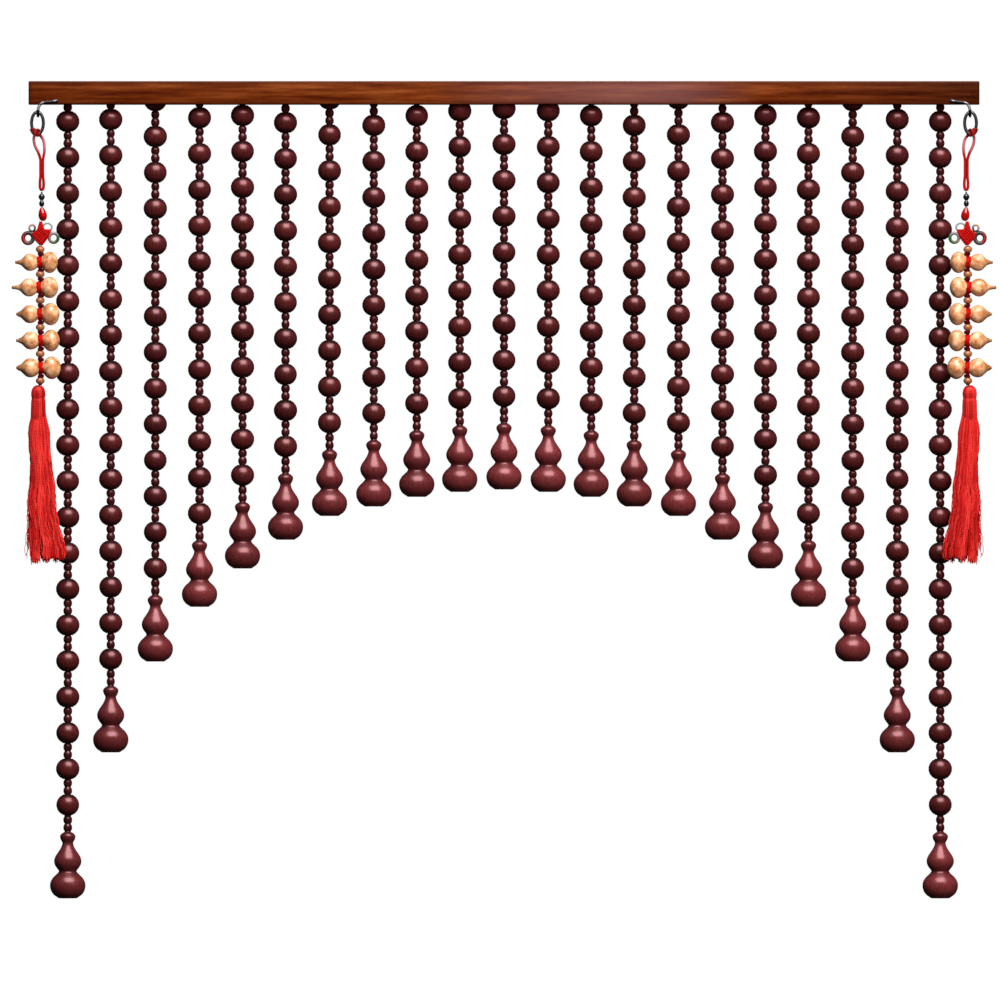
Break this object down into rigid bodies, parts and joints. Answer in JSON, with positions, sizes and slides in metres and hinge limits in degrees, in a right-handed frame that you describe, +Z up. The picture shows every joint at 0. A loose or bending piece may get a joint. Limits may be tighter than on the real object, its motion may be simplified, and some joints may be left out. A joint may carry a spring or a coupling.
{
  "type": "bead curtain with head rail",
  "caption": "Arched door curtain of turned wooden beads and gourd pendants on a grooved head rail, with a red knotted charm and tassel hanging near each end.",
  "frame": {"origin": "middle of the head rail's top face", "axes": "+X along the rail, +Y away from the room side, +Z up; the charms hang on the -Y side"},
  "size_m": [0.9316, 0.0493, 0.7736],
  "materials": {
    "rail_wood": "reddish brown varnished hardwood with straight grain",
    "bead_wood": "dark maroon stained wood, glossy varnish",
    "steel": "dark nickel-plated steel wire",
    "red_cord": "braided red cord",
    "red_silk": "twisted rayon threads, soft sheen",
    "black_bead": "glossy black",
    "red_bead": "glossy red",
    "gourd_skin": "varnished dried gourd shell, golden tan"
  },
  "bodies": {
    "root": {"rail": "rail_wood", "strand_01": "bead_wood", "gourd_01": "bead_wood", "strand_02": "bead_wood", "gourd_02": "bead_wood", "strand_03": "bead_wood", "gourd_03": "bead_wood", "strand_04": "bead_wood", "gourd_04": "bead_wood", "strand_05": "bead_wood", "gourd_05": "bead_wood", "strand_06": "bead_wood", "gourd_06": "bead_wood", "strand_07": "bead_wood", "gourd_07": "bead_wood", "strand_08": "bead_wood", "gourd_08": "bead_wood", "strand_09": "bead_wood", "gourd_09": "bead_wood", "strand_10": "bead_wood", "gourd_10": "bead_wood", "strand_11": "bead_wood", "gourd_11": "bead_wood", "strand_12": "bead_wood", "gourd_12": "bead_wood", "strand_13": "bead_wood", "gourd_13": "bead_wood", "strand_14": "bead_wood", "gourd_14": "bead_wood", "strand_15": "bead_wood", "gourd_15": "bead_wood", "strand_16": "bead_wood", "gourd_16": "bead_wood", "strand_17": "bead_wood", "gourd_17": "bead_wood", "strand_18": "bead_wood", "gourd_18": "bead_wood", "strand_19": "bead_wood", "gourd_19": "bead_wood", "strand_20": "bead_wood", "gourd_20": "bead_wood", "strand_21": "bead_wood", "gourd_21": "bead_wood", "left_hook": "steel", "left_ring": "steel", "left_hanging_loop": "red_cord", "left_black_beads": "black_bead", "left_drop_bead": "red_bead", "left_knot": "red_cord", "left_small_gourds": "gourd_skin", "left_tassel": "red_silk", "right_hook": "steel", "right_ring": "steel", "right_hanging_loop": "red_cord", "right_black_beads": "black_bead", "right_drop_bead": "red_bead", "right_knot": "red_cord", "right_small_gourds": "gourd_skin", "right_tassel": "red_silk"}
  },
  "joints": []
}
